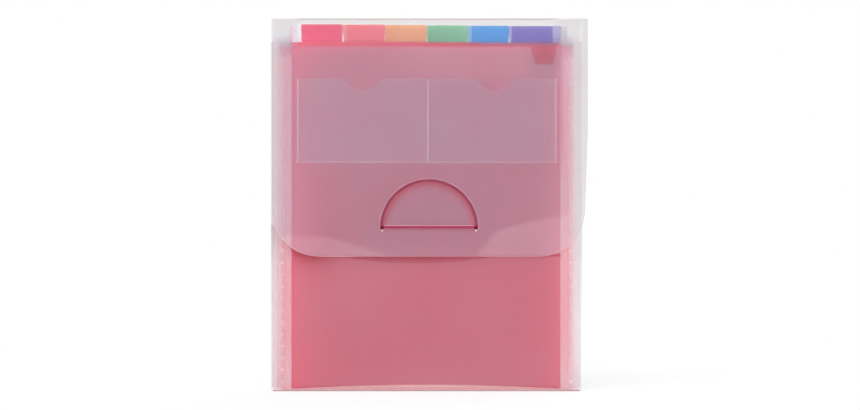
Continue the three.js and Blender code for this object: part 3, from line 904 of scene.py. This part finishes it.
cut_shade_finish = tinted("cut_shade", 0.03, (0.30, 0.22, 0.26), (0.36, 0.28, 0.32), (0.88, 0.73, 0.81))
foot_cut_shade_finish = tinted("foot_cut_shade", 0.03, (0.30, 0.16, 0.22), (0.36, 0.22, 0.28), (0.92, 0.60, 0.72))
arc = np.radians(np.linspace(-1.2, 181.2, 90))
arc_run = np.stack([MOON_X + CUT_RADIUS * np.cos(arc), MOON_Z + CUT_RADIUS * np.sin(arc)], axis=-1)
foot_run = stretch((MOON_X - FOOT_CUT_REACH, FOOT_CUT_Z), (MOON_X + FOOT_CUT_REACH, FOOT_CUT_Z), 40)
for name, run, half, finish in (("moon_cut_shade_arc", arc_run, CUT_HALF, cut_shade_finish),
                                ("moon_cut_shade_foot", foot_run, FOOT_CUT_HALF, foot_cut_shade_finish)):
    cut = flat_rib(name, run, FLAP_Y, half, CUT_DEEP, finish)
    marked(cut, "thin", cut_thin)
    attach(cut, "flap")

# The relief holes are dark discs: painted shade of the red seen through them.
relief_finish = tinted("relief_shade", 0.06, (0.14, 0.03, 0.06), (0.20, 0.05, 0.09), (0.70, 0.30, 0.42))
# A small white spot below each relief.
white_spot_finish = frosted("white_spot", 0.45, (0.94, 0.84, 0.86), (1.0, 0.92, 0.94), grain=600.0)
end_x = MOON_X + np.array([-RELIEF_REACH, RELIEF_REACH])
end_y = np.array([FLAP_Y - RELIEF_PROUD] * 2)
end_z = np.array([RELIEF_Z] * 2)
for name, drop, wide, finish in (("moon_reliefs", 0.0, RELIEF_RADIUS, relief_finish),
                                 ("white_end_spots", WHITE_SPOT_DROP, WHITE_SPOT_RADIUS, white_spot_finish)):
    ends = into_scene(name, *spots(end_x, end_y, end_z - drop, -1, wide), finish)
    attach(ends, "flap")


# Lock tongue: the half moon that the cut leaves, still joined to the flap along its foot. It is bent back
# through the slit and stands behind the front panel, so that it holds the flap shut.
TONGUE_RADIUS, TONGUE_Y, TONGUE_FOOT, TONGUE_SOFT = 38.5, -16.6, 136.2, 6.0
CREASE_REACH, CREASE_Y, CREASE_Z, CREASE_HALF, CREASE_DEEP = 37.6, -17.25, 139.1, 0.3, 0.2
tongue_run = np.array([[FLAP_Y, 135.95], [FLAP_Y, 137.1], [TONGUE_Y, 139.5], [TONGUE_Y, 176.0]])
run_length = np.concatenate([[0], np.cumsum(np.linalg.norm(np.diff(tongue_run, axis=0), axis=1))])


def tongue_skin():
    """A half disc on a bent run: a row at height r sin(t) is r cos(t) wide to each side, and its place is
    that length along the run of (y, z) points."""
    t = np.radians(np.concatenate([np.linspace(0, 7, 12)[:-1], np.linspace(7, 88.5, 30)]))
    far = TONGUE_RADIUS * np.sin(t)
    y, z = (np.interp(far, run_length, tongue_run[:, i]) for i in (0, 1))
    share = np.linspace(-1, 1, 41)
    x = MOON_X + share[:, None] * TONGUE_RADIUS * np.cos(t)
    return np.stack(np.broadcast_arrays(x, y, z), axis=-1)


def soft_rim(x, y, z):
    """Behind the frosted panel the tongue's rim is blurred away: clear at the arc, full 6 mm inside it."""
    inside = TONGUE_RADIUS - np.hypot(x - MOON_X, z - TONGUE_FOOT)
    return np.where(z > 140, rise(inside, TONGUE_SOFT) - 1, 0)


tongue_finish = frosted("frosted_tongue", 0.12, (0.44, 0.46, 0.66), (0.50, 0.52, 0.73))
tongue = sheet("half_moon_tongue", [tongue_skin()], SHEET, tongue_finish)
marked(tongue, "veil", soft_rim)
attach(tongue, "tongue")
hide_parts("lock_tongue")
# A white rib along the tongue's bend: a painted highlight of the bend.
crease_run = stretch((MOON_X - CREASE_REACH, CREASE_Z), (MOON_X + CREASE_REACH, CREASE_Z), 40)
bend_highlight_finish = frosted("painted_bend_highlight", 0.32, (0.94, 0.84, 0.86), (1.0, 0.92, 0.94), grain=600.0)
crease = flat_rib("tongue_bend_highlight", crease_run, CREASE_Y, CREASE_HALF, CREASE_DEEP, bend_highlight_finish)
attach(crease, "tongue")


# Studio: a white floor, an even white room and three large soft lamps, one high at the front left, a weak
# one at the right and one high behind. The camera stands far off, level with the middle of the folder.
FLOOR_REACH, FLOOR_DROP = 6000.0, -0.3
ROOM_LIGHT, SHEETS_DIM = 0.5, 0.13
WHITE, CHALK = (1, 1, 1, 1), (0.92, 0.92, 0.92, 1)
LAMP_AIM = (0, 0, 0.15)


def white_to_the_eye(tree):
    """1 for rays that the camera, a mirror or glass sends out, a little less, as painted shade of the
    backdrop, for those that come through the sheets, and 0 for the light on the object."""
    ray = node(tree, "ShaderNodeLightPath")
    seen = sum_of(tree, "MAXIMUM", ray.outputs["Is Camera Ray"], ray.outputs["Is Glossy Ray"])
    seen = sum_of(tree, "MAXIMUM", seen, ray.outputs["Is Transmission Ray"])
    through = sum_of(tree, "MINIMUM", ray.outputs["Transparent Depth"], 1.0)
    return sum_of(tree, "SUBTRACT", seen, sum_of(tree, "MULTIPLY", through, SHEETS_DIM))


world = bpy.data.worlds.new("studio")
world.use_nodes = True
tree = world.node_tree
tree.nodes.clear()
room = sum_of(tree, "MAXIMUM", white_to_the_eye(tree), ROOM_LIGHT)
glow = node(tree, "ShaderNodeBackground", Color=WHITE, Strength=room)
node(tree, "ShaderNodeOutputWorld", Surface=glow.outputs[0])
bpy.context.scene.world = world

paper, tree = blank_finish("studio_floor")
chalk = node(tree, "ShaderNodeBsdfDiffuse", Color=CHALK)
white = node(tree, "ShaderNodeEmission", Color=WHITE)
reach = node(tree, "ShaderNodeVectorMath", i0=node(tree, "ShaderNodeTexCoord").outputs["Object"])
reach.operation = "LENGTH"
nearby = node(tree, "ShaderNodeMapRange", Value=reach.outputs["Value"], From_Min=0.15, From_Max=0.9,
              To_Min=0.78, To_Max=1.0)
share = sum_of(tree, "MULTIPLY", white_to_the_eye(tree), nearby.outputs["Result"])
floor_mix = node(tree, "ShaderNodeMixShader", Fac=share, i1=chalk.outputs[0], i2=white.outputs[0])
node(tree, "ShaderNodeOutputMaterial", Surface=floor_mix.outputs[0])
ground_run = np.linspace(-FLOOR_REACH, FLOOR_REACH, 9)
ground_points, ground_faces = joined([level(ground_run, ground_run, FLOOR_DROP)])
ground = into_scene("studio_floor", ground_points, ground_faces.tolist(), paper)


def lamp(name, at, wide, watts):
    """A square soft lamp at a point in metres, turned to face the lower middle of the folder."""
    made = bpy.data.lights.new(name, "AREA")
    made.size = wide
    made.energy = watts
    holder = bpy.data.objects.new(name, made)
    holder.location = at
    holder.rotation_euler = (Vector(LAMP_AIM) - Vector(at)).to_track_quat("-Z", "Y").to_euler()
    bpy.context.scene.collection.objects.link(holder)


lamp("key_lamp", (-0.7, -1.8, 2.1), 1.4, 49)
lamp("fill_lamp", (1.6, -1.4, 0.9), 1.4, 9)
lamp("rear_lamp", (0.6, 1.9, 1.7), 1.6, 24)

lens = bpy.data.cameras.new("photo_camera")
lens.sensor_width = 36
lens.lens = 130
camera = bpy.data.objects.new("photo_camera", lens)
camera.location = (0.00285, -2.6267, 0.1564)
camera.rotation_euler = (np.pi / 2, 0, 0)
bpy.context.scene.collection.objects.link(camera)
bpy.context.scene.camera = camera
bpy.context.scene.view_settings.view_transform = "Standard"
bpy.context.scene.cycles.transparent_max_bounces = 96
